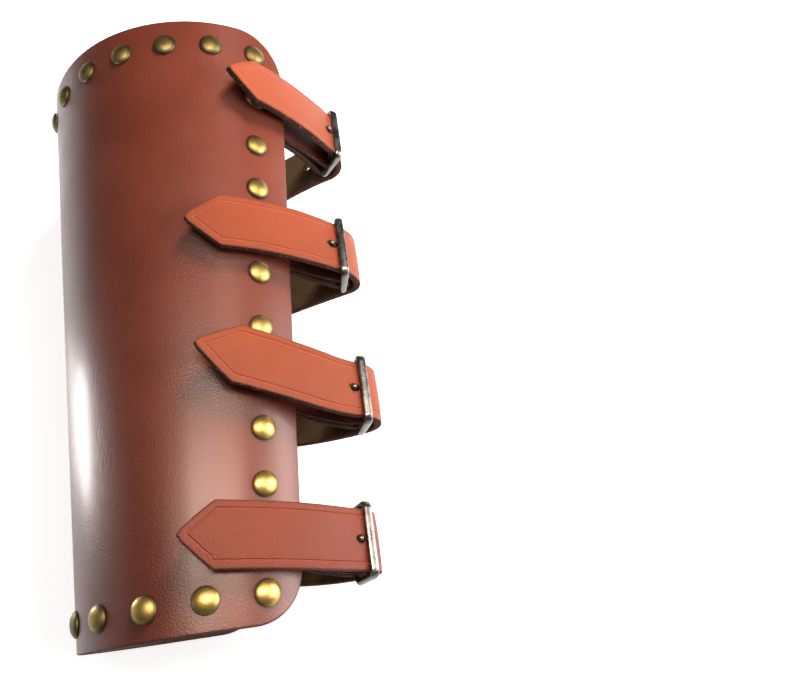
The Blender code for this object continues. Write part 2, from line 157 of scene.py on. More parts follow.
# Counts of the meshes
ANCHOR_STEPS = 13
RIVET_SIDES = 32
BAR_SIDES = 24
PRONG_SIDES = 16
HOLE_SIDES = 28
SHARP = np.radians(50)      # an edge that turns more than this is drawn sharp

# How dark each row's rivets are, from the first to the last: partly patina and partly painted
# shade, darkening the rivets that catch less light
AGE_AND_SHADE = {"elbow": (1.0, 1.2), "wrist": (0.0, 2.4), "over": (0.05, 0.9), "under": (0.5, 0.5)}

# Finishes
GROOVE_DEPTH = 0.00022      # of a crease line
NAP_DEPTH = 0.00035         # of the fibres of raw leather
RIM_WIDE = 0.0011           # of the darker rim beside a cut edge
PALE_FIBRE = (0.60, 0.44, 0.34)
BRASS = (0.50, 0.335, 0.100, 1)
# The dark brass colour: patina, and also painted shade on the rivets that catch less light
TARNISH_AND_SHADE = (0.085, 0.074, 0.034, 1)
DARK_STEEL = (0.13, 0.125, 0.12, 1)
WORN_STEEL = (0.21, 0.20, 0.19, 1)

ACROSS = np.array((0.0, 1.0, 0.0))
FOOT = HEAD_H + HEAD_GAP
EDGE_STEPS = np.array((0.0, 0.03, 0.10, 0.20, 0.34, 0.52, 0.75, 1.1, 1.6)) / 1000


# Vectors

def direction(heading, drift=0.0):
    """Unit vectors at a heading, turned out of the XZ plane by drift."""
    heading, drift = np.radians(heading), np.radians(drift)
    return np.stack(np.broadcast_arrays(
        np.cos(heading) * np.cos(drift), np.sin(drift), np.sin(heading) * np.cos(drift)), -1)


def right_of(heading):
    """Unit vectors in the XZ plane to the right of a heading."""
    return direction(heading - 90.0)


def unit(vectors):
    """Vectors made one long."""
    return vectors / np.linalg.norm(vectors, axis=-1, keepdims=True)


# The shell's surface

def unit_section(share):
    """Place and heading on the section of round length 1 at shares of it.

    Each row of SECTION is an arc. A point on an arc is its start plus a chord
    whose heading is the arc's start heading plus half the turn so far.
    """
    widths, bends = SECTION.T
    starts = np.concatenate(((0.0,), np.cumsum(widths)))
    headings = OVER_HEADING + np.concatenate(((0.0,), np.cumsum(bends)))
    half = np.radians(bends / 2)
    chords = widths * np.sinc(half / np.pi)
    steps = np.stack((chords * np.cos(np.radians(headings[:-1]) + half),
                      chords * np.sin(np.radians(headings[:-1]) + half)), -1)
    corners = np.concatenate((np.zeros((1, 2)), np.cumsum(steps, 0)))
    arc = np.clip(np.searchsorted(starts, share, "right") - 1, 0, len(widths) - 1)
    part = share - starts[arc]
    turn = bends[arc] * part / widths[arc]
    chord = part * np.sinc(np.radians(turn / 2) / np.pi)
    middle = np.radians(headings[arc] + turn / 2)
    x = corners[arc, 0] + chord * np.cos(middle)
    z = corners[arc, 1] + chord * np.sin(middle)
    return x, z, headings[arc] + turn


SECTION_X, SECTION_Z, _ = unit_section(np.linspace(0, 1, 201))
MIDDLE, LOWEST = SECTION_X.min() / 2, SECTION_Z.min()


def round_length(along):
    """Round length of the section at a share of the length."""
    return WRIST_ROUND + (ELBOW_ROUND - WRIST_ROUND) * along


def girth(along):
    """Length of leather from the upper edge to the under edge."""
    wrist = WRIST_ROUND * WRIST_COVER
    return wrist + (ELBOW_ROUND * ELBOW_COVER - wrist) * along


def shell_heading(around, along):
    """Heading of the section at a place of the shell."""
    return unit_section(around / round_length(along))[2]


def shell_point(around, along, depth=0.0):
    """Points at a depth under the outer surface: the unit section at around
    over the round length, scaled by the round length, sunk along its own
    right and leaned lengthwise in proportion to its height."""
    size = round_length(along)
    x, z, heading = unit_section(around / size)
    out = right_of(heading)
    x = (x - MIDDLE) * size - out[..., 0] * depth
    z = (z - LOWEST) * size + FOOT - out[..., 2] * depth
    lean = np.tan(np.radians(WRIST_LEAN)) * (1 - along) + np.tan(np.radians(ELBOW_LEAN)) * along
    return np.stack((x, (along - 0.5) * LENGTH + z * lean, z), -1)


def long_way(around, along, step=0.001):
    """Direction of the shell's surface towards the elbow."""
    return unit(shell_point(around, along + step) - shell_point(around, along - step))


def shell_normal(around, along, step=0.001):
    """Outward direction of the shell's surface."""
    round_way = shell_point(around + step, along) - shell_point(around - step, along)
    return unit(np.cross(long_way(around, along), round_way))


# Meshes

def add_object(name, data):
    """Object of a mesh, light or camera, in the scene."""
    added = bpy.data.objects.new(name, data)
    bpy.context.scene.collection.objects.link(added)
    return added


def make_piece(name, points, faces, material, replaced, sharp=False):
    """Smooth mesh object of points and faces, which stands for CAD nodes."""
    mesh = bpy.data.meshes.new(name)
    mesh.from_pydata((points + SHIFT).reshape(-1, 3).tolist(), [], faces)
    mesh.polygons.foreach_set("use_smooth", np.ones(len(faces), bool))
    mesh.materials.append(material)
    mesh.validate()
    if sharp:
        mesh.set_sharp_from_angle(angle=SHARP)
    piece = add_object(name, mesh)
    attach(piece, "root")
    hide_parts(*replaced)
    return piece


def add_attribute(piece, name, values):
    """Give each point of a piece a number that its material reads."""
    attribute = piece.data.attributes.new(name, "FLOAT", "POINT")
    attribute.data.foreach_set("value", np.ascontiguousarray(values, dtype=np.float32).ravel())


def grid_quads(index):
    """Quads between neighbours of a grid of point numbers."""
    return np.stack((index[:-1, :-1], index[1:, :-1], index[1:, 1:], index[:-1, 1:]),
                    -1).reshape(-1, 4)


def graded(total, steps, middle):
    """Shares of a total with fixed steps near both ends and even ones between."""
    inner = np.linspace(steps[-1], total - steps[-1], middle + 1)[1:-1]
    return np.concatenate((steps, inner, (total - steps)[::-1])) / total


def leather_sheet(name, place, across, along, inset, thickness, material, replaced,
                  slot_cells=None):
    """Leather with rounded edges: both faces of a grid, joined along its border.

    inset is each point's distance from the outline. The half thickness there is
    thickness / 2 * (1 - (1 - inset / EDGE_ROUND) ** power) ** (1 / power), so it
    is nothing at the outline and full from EDGE_ROUND inwards. slot_cells are the
    first and last rows and columns of a hole through both faces.
    """
    rows, columns = across.shape
    short = 1 - np.clip(inset / EDGE_ROUND, 0, 1)
    full = (1 - short ** EDGE_POWER) ** (1 / EDGE_POWER)
    outer = place(across, along, thickness / 2 * (1 - full))
    inner = place(across, along, thickness / 2 * (1 + full))
    border = np.ones((rows, columns), bool)
    border[1:-1, 1:-1] = False
    top = np.arange(rows * columns).reshape(rows, columns)
    under = top.copy()
    under[~border] = rows * columns + np.arange((~border).sum())
    cells = np.ones((rows - 1, columns - 1), bool)
    walls = []
    if slot_cells:
        i0, i1, j0, j1 = slot_cells
        cells[i0:i1, j0:j1] = False
        for a, b, c, d in ((top[i0, j0:j1], top[i0, j0 + 1:j1 + 1],
                            under[i0, j0 + 1:j1 + 1], under[i0, j0:j1]),
                           (top[i1, j0 + 1:j1 + 1], top[i1, j0:j1],
                            under[i1, j0:j1], under[i1, j0 + 1:j1 + 1]),
                           (top[i0 + 1:i1 + 1, j0], top[i0:i1, j0],
                            under[i0:i1, j0], under[i0 + 1:i1 + 1, j0]),
                           (top[i0:i1, j1], top[i0 + 1:i1 + 1, j1],
                            under[i0 + 1:i1 + 1, j1], under[i0:i1, j1])):
            walls.append(np.stack((a, b, c, d), -1))
    keep = cells.ravel()
    quads = np.concatenate([grid_quads(top)[keep][:, ::-1], grid_quads(under)[keep]] + walls)
    points = np.concatenate((outer.reshape(-1, 3), inner[~border]))
    piece = make_piece(name, points, quads.tolist(), material, replaced)
    add_attribute(piece, "side", np.concatenate(((0.5 + full / 2).ravel(),
                                                 (0.5 - full / 2)[~border])))
    add_attribute(piece, "inset", np.concatenate((inset.ravel(), inset[~border])))
    flat = np.stack((across, along), -1)
    flat = np.concatenate((flat.reshape(-1, 2), flat[~border]))
    loops = np.empty(len(piece.data.loops), np.int64)
    piece.data.loops.foreach_get("vertex_index", loops)
    piece.data.uv_layers.new(name="flat").data.foreach_set(
        "uv", np.ascontiguousarray(flat[loops], dtype=np.float32).ravel())
    return piece


def tube_faces(rows, columns, closed=False, flip=False):
    """Faces of a tube of rings, with its path closed or with a flat cap at each end.

    They face outwards where the rings turn clockwise, seen along the path. Where
    they turn the other way, flip does it.
    """
    index = np.arange(rows * columns).reshape(rows, columns)
    rings = np.concatenate((index, index[:, :1]), 1)
    if closed:
        faces = grid_quads(np.concatenate((rings, rings[:1]), 0)).tolist()
    else:
        faces = grid_quads(rings).tolist() + [index[0].tolist(), index[-1, ::-1].tolist()]
    return [face[::-1] for face in faces] if flip else faces


# Shell

def corner_inset(away, corner):
    """Inset of a rounded corner of the outline at a distance from the end."""
    short = corner - np.clip(away, 0, corner)
    return corner - np.sqrt(corner ** 2 - short ** 2)


def outline_inset(side, end, corner):
    """Distance from a rounded corner's outline, from those of its two sides."""
    inside = corner - np.hypot(corner - np.minimum(side, corner), corner - np.minimum(end, corner))
    return np.where((side < corner) & (end < corner), inside, np.minimum(side, end))


def rivet_places():
    """Every rivet: its name, length around, share along and what it holds."""
    places = []
    for name, along, count in (("elbow", 1 - ELBOW_MARGIN / LENGTH, ELBOW_RIVETS),
                               ("wrist", WRIST_MARGIN / LENGTH, WRIST_RIVETS)):
        span = girth(along) - 2 * EDGE_MARGIN
        for i in range(count):
            around = EDGE_MARGIN + span * i / (count - 1)
            places.append((f"rivet_{name}_{i + 1}", around, along, None))
    for i, (along, holds) in enumerate(COLUMN):
        places.append((f"rivet_over_{i + 1}", EDGE_MARGIN, along, holds and "chape"))
        places.append((f"rivet_under_{i + 1}", girth(along) - EDGE_MARGIN, along,
                       holds and "strap"))
    return places


def shell_surface(around, along, depth):
    """The shell's surface sunk along its normal, with a dent under each rivet.

    A dent is DENT * exp(-(distance / DENT_R) ** 2), pressed in on both faces.
    """
    for _, rivet_around, rivet_along, _ in rivet_places():
        away = np.hypot(around - rivet_around, (along - rivet_along) * LENGTH)
        depth = depth + DENT * np.exp(-(away / DENT_R) ** 2)
    return shell_point(around, along) - shell_normal(around, along) * depth[..., None]


def make_shell(material):
    """Shell: rows along the length, whose ends follow the rounded corners."""
    corner_rows = np.concatenate((EDGE_STEPS, np.linspace(0.0024, ELBOW_CORNER, 14)))
    rows = graded(LENGTH, corner_rows, 64)[:, None]
    away = np.minimum(rows, 1 - rows) * LENGTH
    corner = np.where(rows < 0.5, WRIST_CORNER, ELBOW_CORNER)
    cut_in = corner_inset(away, corner)
    width = girth(rows) - 2 * cut_in
    shares = graded(COLUMN_GIRTH, EDGE_STEPS, 150)[None, ::-1]
    around = cut_in + width * shares
    along = rows + 0 * around
    side = np.minimum(around, girth(rows) - around)
    inset = np.maximum(outline_inset(side, away, corner), 0)
    inset[0] = inset[-1] = 0
    inset[:, 0] = inset[:, -1] = 0
    leather_sheet("forearm_shell", shell_surface, around, along, inset, WALL,
                  material, ["shell"])


# Rivets

def revolve(profile, steps):
    """Points of a profile of radius and height turned round the Z axis."""
    angle = np.linspace(0, 2 * np.pi, steps, endpoint=False)
    radius, height = np.array(profile).T
    return np.stack((radius[:, None] * np.cos(angle), radius[:, None] * np.sin(angle),
                     np.broadcast_to(height[:, None], (len(radius), steps))), -1)


def rivet_profile(stack):
    """Half profile from the crown to the burr's middle.

    The dome falls from DOME_H by DOME_DROP of its height over the rim times the
    share of its radius to DOME_POWER. The rim is part of an ellipse, and the burr
    a flat cap inside the shell, whose leather and layers are stack thick.
    """
    share = np.linspace(0.02, 1, 9)
    dome = [(DOME_R * RIM_START * s, DOME_H - (DOME_H - RIM_H) * DOME_DROP * s ** DOME_POWER)
            for s in share]
    turn = np.radians(np.linspace(50, -10, 5))
    rim = [(DOME_R * (0.9 + 0.1 * np.cos(a)), RIM_H * (0.25 + 0.8 * np.sin(a)) - 0.0001)
           for a in turn]
    under = -stack - BURR_GAP * 0.4
    burr = [(POST_R, -0.0002), (POST_R, under), (BURR_R * 0.9, under),
            (BURR_R, under - BURR_H * 0.3), (BURR_R * 0.9, under - BURR_H * 0.8),
            (BURR_R * 0.6, under - BURR_H), (BURR_R * 0.05, under - BURR_H)]
    return dome + rim + burr


def make_rivets(material):
    """Domed rivets, each standing on the shell's surface along its normal."""
    stacks = {None: WALL, "chape": WALL + 2 * (LAYER_GAP + CHAPE_T),
              "strap": WALL + LAYER_GAP + STRAP_T}
    for name, around, along, holds in rivet_places():
        profile = rivet_profile(stacks[holds])
        points = revolve(profile, RIVET_SIDES)
        normal = shell_normal(np.array(around), np.array(along))
        turn = np.array(Vector(normal).to_track_quat("Z", "Y").to_matrix())
        points = points @ turn.T + shell_point(np.array(around), np.array(along))
        piece = make_piece(name + "_cap", points, tube_faces(len(profile), RIVET_SIDES), material,
                           [name], sharp=True)
        # Each rivet's darkening, from its place in its row, is partly patina and partly painted
        # shade
        row, number = name.split("_")[1:]
        first, last = AGE_AND_SHADE[row]
        count = {"elbow": ELBOW_RIVETS, "wrist": WRIST_RIVETS}.get(row, len(COLUMN))
        age_and_shade = first + (last - first) * (int(number) - 1) / (count - 1)
        radius = np.repeat([r for r, _ in profile], RIVET_SIDES)
        add_attribute(piece, "age_and_shade", np.full(len(radius), age_and_shade))
        add_attribute(piece, "rim", radius / DOME_R)


# Routes of straps and chapes

def bezier(start, start_way, end, end_way, start_reach, end_reach, steps):
    """Points of a cubic Bezier that leaves and arrives in the given ways."""
    t = np.linspace(0, 1, steps + 1)[:, None]
    first, second = start + start_way * start_reach, end - end_way * end_reach
    return ((1 - t) ** 3 * start + 3 * t * (1 - t) ** 2 * first
            + 3 * t ** 2 * (1 - t) * second + t ** 3 * end)


def arc_reach(start, end, turn):
    """Handle length that makes a bezier between two points near to an arc."""
    half = np.radians(turn) / 2
    radius = np.linalg.norm(end - start) / (2 * np.sin(half))
    return radius * 4 / 3 * np.tan(half / 2)


class Route:
    """A line through points, read by the length along it."""

    def __init__(self, points):
        self.points = points
        steps = np.linalg.norm(np.diff(points, axis=0), axis=1)
        self.lengths = np.concatenate(((0.0,), np.cumsum(steps)))
        self.total = self.lengths[-1]

    def read(self, values, lengths):
        """Values given at the points, read at lengths along the line."""
        flat = np.ravel(lengths)
        out = np.stack([np.interp(flat, self.lengths, column) for column in values.T], -1)
        return out.reshape(*np.shape(lengths), -1)

    def at(self, lengths):
        """Points at lengths along the line."""
        return self.read(self.points, lengths)

    def ways(self):
        """Direction of the line at each of its points."""
        return unit(np.gradient(self.points, axis=0))


def rivet_along(name):
    """Share of the length at which a strap's rivets sit."""
    return next(along for along, holds in COLUMN if holds == name)


def bars(strap):
    """Middles of a strap's front bar and heel bar."""
    edge = shell_point(np.array(0.0), np.array(rivet_along(strap["name"])))
    seat = edge + np.array((strap["seat_x"] * REACH, strap["shift"] * STRAP_W,
                            strap["seat_z"] * REACH + FOOT))
    front = seat + right_of(strap["rise"]) * (STRAP_T + BAR_GAP + BAR_R)
    return front, front + direction(strap["heel"]) * FRAME_LENGTH


def strap_run(strap, steps=40):
    """Middle line from the anchor inside the shell, round the heel, to the front bar."""
    along = rivet_along(strap["name"])
    front, heel = bars(strap)
    depth = WALL + LAYER_GAP + STRAP_T / 2
    first = girth(along) - EDGE_MARGIN - ANCHOR_PAST
    last = girth(along) - ANCHOR_LIFT
    around = np.linspace(first, last, ANCHOR_STEPS)
    anchor = shell_point(around, np.full(ANCHOR_STEPS, along), depth)
    leave = direction(shell_heading(np.array(last), along))
    arrive = direction(LOWER_HEADING)
    bottom = heel + right_of(LOWER_HEADING) * (
        BAR_R + GAP + CHAPE_T + LAYER_GAP + STRAP_T / 2)
    top = front - right_of(strap["rise"]) * (BAR_R + BAR_GAP + STRAP_T / 2)
    span = np.linalg.norm(bottom - anchor[-1])
    lower = bezier(anchor[-1], leave, bottom, arrive, 0.1 * span, 0.4 * span, steps)
    reach = arc_reach(bottom, top, strap["rise"] - LOWER_HEADING)
    fold = bezier(bottom, arrive, top, direction(strap["rise"]), reach, reach, steps)
    return np.concatenate((anchor, lower[1:], fold[1:]))


def strap_tail(strap, steps=60):
    """Middle line from the front bar to the tip: an arc that drifts sideways."""
    front, _ = bars(strap)
    start = front - right_of(strap["rise"]) * (BAR_R + BAR_GAP + STRAP_T / 2)
    share = (np.arange(steps) + 0.5) / steps
    ways = direction(strap["rise"] + strap["bend"] * share,
                     strap["yaw"] * np.minimum(1.0, share * 4))
    walk = np.cumsum(ways * strap["tail"] * TAIL / steps, axis=0)
    return np.concatenate((start[None], start + walk))


def prong_shank(strap):
    """Start beside the heel bar and end of the prong's straight shank."""
    _, heel = bars(strap)
    hole = Route(strap_tail(strap)).at(BAR_R + PRONG_R + NOSE_GAP)
    top = hole + right_of(strap["rise"]) * STRAP_T / 2
    shank = unit(top - heel)
    base = heel - unit(np.cross(shank, ACROSS)) * (BAR_R + GAP + PRONG_R)
    return base, top + shank * PRONG_END


def turned(sides, ways, degrees):
    """Sides turned about their ways, where both are at right angles."""
    angle = np.radians(degrees)[:, None]
    return sides * np.cos(angle) + np.cross(ways, sides) * np.sin(angle)


# Straps

def make_strap(strap, material):
    """Strap: its middle line, a width that runs out in a point, and a crown, with
    the prong's hole and a spare one punched through."""
    run, tail = strap_run(strap), strap_tail(strap)
    route = Route(np.concatenate((run, tail[1:])))
    ways = route.ways()
    sides = unit(ACROSS - ways * ways[:, 1:2])
    run_length = Route(run).total
    twist = strap["twist"] * np.clip((route.lengths - run_length) / TWIST_RUN, 0, 1)
    sides = turned(sides, ways, twist)
    normals = np.cross(sides, ways)
    point = strap["point"] * POINT
    shoulder = route.total - point

    def half_width(along):
        """Half of STRAP_W, tapered over the point to half of TIP_W and a round nose."""
        share = np.clip((along - shoulder) / point, 0, 1)
        half = (STRAP_W + (TIP_W - STRAP_W) * share ** 1.1) / 2
        left = np.clip(route.total - along, 0, TIP_W / 2)
        nose = np.sqrt(np.maximum((TIP_W / 2) ** 2 - (TIP_W / 2 - left) ** 2, 0)) + 0.00005
        return np.minimum(half, np.where(left < TIP_W / 2, nose, half))

    def place(across, along, depth):
        """The route plus across along the sides, plus the crown less depth along
        the normals."""
        centre = route.at(along)
        side = unit(route.read(sides, along))
        normal = unit(route.read(normals, along))
        crown = STRAP_CROWN * (1 - (2 * across / STRAP_W) ** 2)
        return (centre + side * across[..., None]
                + normal * (STRAP_T / 2 - depth + crown)[..., None])

    rows = graded(route.total, EDGE_STEPS, 230)[:, None] * route.total
    rows = np.sort(np.concatenate((rows, shoulder + np.linspace(-0.001, 0.001, 5)[:, None])), 0)
    shares = graded(STRAP_W, EDGE_STEPS, 34)[None] * 2 - 1
    half = half_width(rows)
    across = half * shares
    along = rows + 0 * across
    slope = np.gradient(half[:, 0], rows[:, 0])[:, None]
    slant = 1 / np.sqrt(1 + np.clip(slope, -3, 3) ** 2)
    inset = np.minimum((half - np.abs(across)) * slant,
                       np.minimum(along, route.total - along))
    inset = np.maximum(inset, 0)
    inset[0] = inset[-1] = 0
    inset[:, 0] = inset[:, -1] = 0
    piece = leather_sheet(f"strap_{strap['name']}_leather", place, across, along, inset,
                          STRAP_T, material, [f"strap_{strap['name']}"])
    base, end = prong_shank(strap)
    punch(piece, end, end - base, PRONG_R + PRONG_GAP, STRAP_T * 7)
    spare_length = run_length - SPARE_STEP
    spare_normal = unit(route.read(normals, np.array(spare_length)))
    punch(piece, route.at(np.array(spare_length)), spare_normal, SPARE_R, STRAP_T * 3)


def punch(piece, point, way, radius, depth):
    """Cut a round hole through a piece, centred on a point along a way."""
    angle = np.linspace(0, 2 * np.pi, HOLE_SIDES, endpoint=False)
    turn = np.array(Vector(way).to_track_quat("Z", "Y").to_matrix())
    ring = np.stack((radius * np.cos(angle), radius * np.sin(angle), 0 * angle), -1)
    rings = np.stack((ring - (0, 0, depth / 2), ring + (0, 0, depth / 2)))
    points = rings @ turn.T + point + SHIFT
    mesh = bpy.data.meshes.new("punch")
    mesh.from_pydata(points.reshape(-1, 3).tolist(), [], tube_faces(2, HOLE_SIDES, flip=True))
    cutter = add_object("punch", mesh)
    boolean = piece.modifiers.new("punch", "BOOLEAN")
    boolean.operation = "DIFFERENCE"
    boolean.solver = "EXACT"
    boolean.object = cutter
    shape = piece.evaluated_get(bpy.context.evaluated_depsgraph_get())
    cut_mesh = bpy.data.meshes.new_from_object(shape)
    piece.modifiers.clear()
    piece.data = cut_mesh
    cut_mesh.set_sharp_from_angle(angle=SHARP)
    bpy.data.objects.remove(cutter)


# Chapes

def chape_route(strap, steps=12):
    """Middle line from the under layer, round the heel bar, to the upper layer,
    the directions across it, the near side of the bar and the way out to it."""
    along = rivet_along(strap["name"])
    _, heel = bars(strap)
    apart = (CHAPE_T + LAYER_GAP) / 2
    depth = WALL + LAYER_GAP + CHAPE_T / 2 + apart
    hold = EDGE_MARGIN + CHAPE_PAST
    around = np.linspace(hold, 0, steps + 1)
    upper = shell_point(around, np.full(steps + 1, along), depth - apart)
    lower = shell_point(around[::-1], np.full(steps + 1, along), depth + apart)
    edge = shell_point(np.array(0.0), np.array(along), depth)
    out = unit(np.array((heel[0] - edge[0], 0.0, heel[2] - edge[2])))
    side = unit(np.cross(out, ACROSS))
    loop_r = BAR_R + GAP + CHAPE_T / 2
    turns = np.linspace(0, np.pi, 2 * steps + 1)[:, None]
    loop = heel + side * (loop_r * np.cos(turns)) + out * (loop_r * np.sin(turns))
    span = np.linalg.norm(heel - edge)
    leave = direction(shell_heading(np.array(0.0), along) + 180)
    middle = bezier(edge, leave, heel - out * BAR_R, out, 0.3 * span, 0.4 * span, steps)
    ways = unit(np.gradient(middle, axis=0))
    share = np.linspace(0, 1, steps + 1)[:, None]
    half = unit(np.cross(ways, ACROSS)) * (apart + (loop_r - apart) * share ** 1.5)
    route = Route(np.concatenate((upper, (middle + half)[1:], loop[1:-1],
                                  (middle - half)[:0:-1], lower))[::-1])
    flat = unit(ACROSS - route.ways() * route.ways()[:, 1:2])
    slope = long_way(np.array(0.0), np.array(along))
    to_end = np.minimum(route.lengths, route.total - route.lengths)
    lean = np.clip((hold + LEAN_RUN - to_end) / LEAN_RUN, 0, 1)[:, None]
    return route, unit(flat * (1 - lean) + slope * lean), heel - out * BAR_R, out


def make_chape(strap, material):
    """Chape: a band along its route, with a slot for the prong at the bar."""
    route, sides, middle, out = chape_route(strap)
    normals = unit(np.cross(sides, route.ways()))

    def place(across, along, depth):
        """The route plus across along the sides, less depth along the normals."""
        return (route.at(along) + unit(route.read(sides, along)) * across[..., None]
                + unit(route.read(normals, along)) * (CHAPE_T / 2 - depth)[..., None])

    rows = graded(route.total, EDGE_STEPS, 90)[:, None] * route.total
    slot_half = PRONG_R + SLOT_GAP
    edge = graded(CHAPE_W / 2 - slot_half, EDGE_STEPS, 8) * (CHAPE_W / 2 - slot_half)
    right = CHAPE_W / 2 - edge[:-7][::-1]
    right = np.concatenate(((slot_half,), right[right > slot_half + 0.0002]))
    shares = np.concatenate((-right[::-1], right))[None]
    across = shares + 0 * rows
    along = rows + 0 * across
    inset = np.minimum(CHAPE_W / 2 - np.abs(across), np.minimum(along, route.total - along))
    inset = np.maximum(inset, 0)
    reach = (route.at(rows[:, 0]) - middle) @ out
    inside = np.flatnonzero(reach > -2 * (BAR_R + GAP + CHAPE_T))
    half = len(right)
    cells = (inside[0], inside[-1], half - 1, half)
    leather_sheet(f"chape_{strap['name']}_leather", place, across, along, inset, CHAPE_T,
                  material, [f"chape_{strap['name']}"], cells)


# Buckles and prongs

def make_buckle(strap, material):
    """Buckle: a bar carried round a rectangle with rounded corners, round at the
    heel and flattened towards the front: a superellipse whose half width goes
    from BAR_R to FRONT_WIDE and half thickness from BAR_R to FRONT_THIN."""
    front, heel = bars(strap)
    up = unit(front - heel)
    out = np.cross(ACROSS, up)
    half_width = STRAP_W / 2 + SIDE_GAP + BAR_R - FRAME_CORNER
    half_height = FRAME_LENGTH / 2 - FRAME_CORNER
    path, away = [], []
    for quarter, (right, above) in enumerate(((1, -1), (1, 1), (-1, 1), (-1, -1))):
        centre = (front + heel) / 2 + ACROSS * right * half_width + up * above * half_height
        angle = np.radians(-90 + 90 * quarter + np.linspace(0, 90, 9))[:, None]
        spoke = ACROSS * np.cos(angle) + up * np.sin(angle)
        path.append(centre + spoke * FRAME_CORNER)
        away.append(spoke)
    path, away = np.concatenate(path), np.concatenate(away)
    flat = np.clip(0.5 + (path - (front + heel) / 2) @ up / FRAME_LENGTH, 0, 1)[:, None]
    flat = flat * flat * (3 - 2 * flat)
    thin = BAR_R + (FRONT_THIN - BAR_R) * flat
    wide = BAR_R + (FRONT_WIDE - BAR_R) * flat
    angle = np.linspace(0, 2 * np.pi, BAR_SIDES, endpoint=False)
    square = 2 / (2 + FRONT_SQUARE * flat)
    u = thin * np.sign(np.cos(angle)) * np.abs(np.cos(angle)) ** square
    v = wide * np.sign(np.sin(angle)) * np.abs(np.sin(angle)) ** square
    points = path[:, None] + away[:, None] * u[..., None] + out * v[..., None]
    faces = tube_faces(len(path), BAR_SIDES, closed=True)
    make_piece(f"buckle_{strap['name']}_frame", points, faces, material,
               [f"buckle_{strap['name']}"])


def make_prong(strap, material):
    """Prong: a round wire hooked on the heel bar, its shank through the strap. Its
    radius at past radii beyond each end is PRONG_R * sqrt(1 - past ** 2)."""
    _, heel = bars(strap)
    base, end = prong_shank(strap)
    shank = unit(end - base)
    side = unit(base - heel)
    hook_r = BAR_R + GAP + PRONG_R
    angle = np.radians(np.linspace(240, 0, 25))[:, None]
    hook = heel + side * (hook_r * np.cos(angle)) - shank * (hook_r * np.sin(angle))
    reach = np.linalg.norm(end - base)
    shank_share = np.linspace(0.1, 1, 10)[:, None]
    path = np.concatenate((hook, base + shank * reach * shank_share))
    past = np.array((0.98, 0.8, 0.5))
    ends = PRONG_R * np.sqrt(1 - past ** 2)
    radius = np.concatenate((ends, np.full(len(path), PRONG_R), ends[::-1]))
    path = np.concatenate((path[:1] - unit(path[1] - path[0]) * (PRONG_R * past[:, None]), path,
                           path[-1:] + shank * PRONG_R * past[::-1, None]))
    ways = unit(np.gradient(path, axis=0))
    out = np.cross(ways, ACROSS)
    angle = np.linspace(0, 2 * np.pi, PRONG_SIDES, endpoint=False)
    circle = np.stack((np.cos(angle), np.sin(angle)), -1)
    points = (path[:, None] + ACROSS * circle[None, :, :1] * radius[:, None, None]
              + out[:, None] * circle[None, :, 1:] * radius[:, None, None])
    faces = tube_faces(len(path), PRONG_SIDES, flip=True)
    make_piece(f"prong_{strap['name']}_wire", points, faces, material,
               [f"prong_{strap['name']}"], sharp=True)


# Materials

class Nodes:
    """Adds nodes to a tree and links them by name."""

    def __init__(self, tree):
        self.tree = tree

    def add(self, kind, inputs=None, **settings):
        """Add a node, set its settings, and set or link its inputs."""
        node = self.tree.nodes.new(kind)
        for key, value in settings.items():
            setattr(node, key, value)
        for key, value in (inputs or {}).items():
            socket = node.inputs[key]
            if isinstance(value, bpy.types.NodeSocket):
                self.tree.links.new(value, socket)
            else:
                socket.default_value = value
        return node

    def math(self, operation, a, b=0.0, clamp=False):
        """Result of a Math node."""
        return self.add("ShaderNodeMath", {0: a, 1: b}, operation=operation,
                        use_clamp=clamp).outputs[0]

    def fade(self, value, low, high, to_low=0.0, to_high=1.0):
        """Value smoothed from one range to another."""
        return self.add("ShaderNodeMapRange", {
            "Value": value, "From Min": low, "From Max": high, "To Min": to_low,
            "To Max": to_high}, interpolation_type="SMOOTHSTEP").outputs[0]

    def mix(self, factor, a, b):
        """Two colours mixed by a factor."""
        return self.add("ShaderNodeMix", {"Factor": factor, 6: a, 7: b},
                        data_type="RGBA").outputs[2]

    def bump(self, height):
        """Normal bent by a height in metres."""
        return self.add("ShaderNodeBump", {"Height": height, "Distance": 1.0,
                                           "Strength": 1.0}).outputs[0]

    def noise(self, vector, scale, detail=4.0, roughness=0.5, distortion=0.0):
        """Value of a Noise Texture."""
        return self.add("ShaderNodeTexNoise", {
            "Vector": vector, "Scale": scale, "Detail": detail, "Roughness": roughness,
            "Distortion": distortion}).outputs[0]


def new_group(name, inputs, outputs):
    """Shader node group with named inputs and outputs: floats, but for Vector."""
    tree = bpy.data.node_groups.new(name, "ShaderNodeTree")
    for key, default in inputs.items():
        kind = "NodeSocketVector" if key == "Vector" else "NodeSocketFloat"
        socket = tree.interface.new_socket(key, in_out="INPUT", socket_type=kind)
        if default is not None:
            socket.default_value = default
    for key in outputs:
        tree.interface.new_socket(key, in_out="OUTPUT", socket_type="NodeSocketFloat")
    nodes = Nodes(tree)
    return nodes, nodes.add("NodeGroupInput").outputs, nodes.add("NodeGroupOutput").inputs


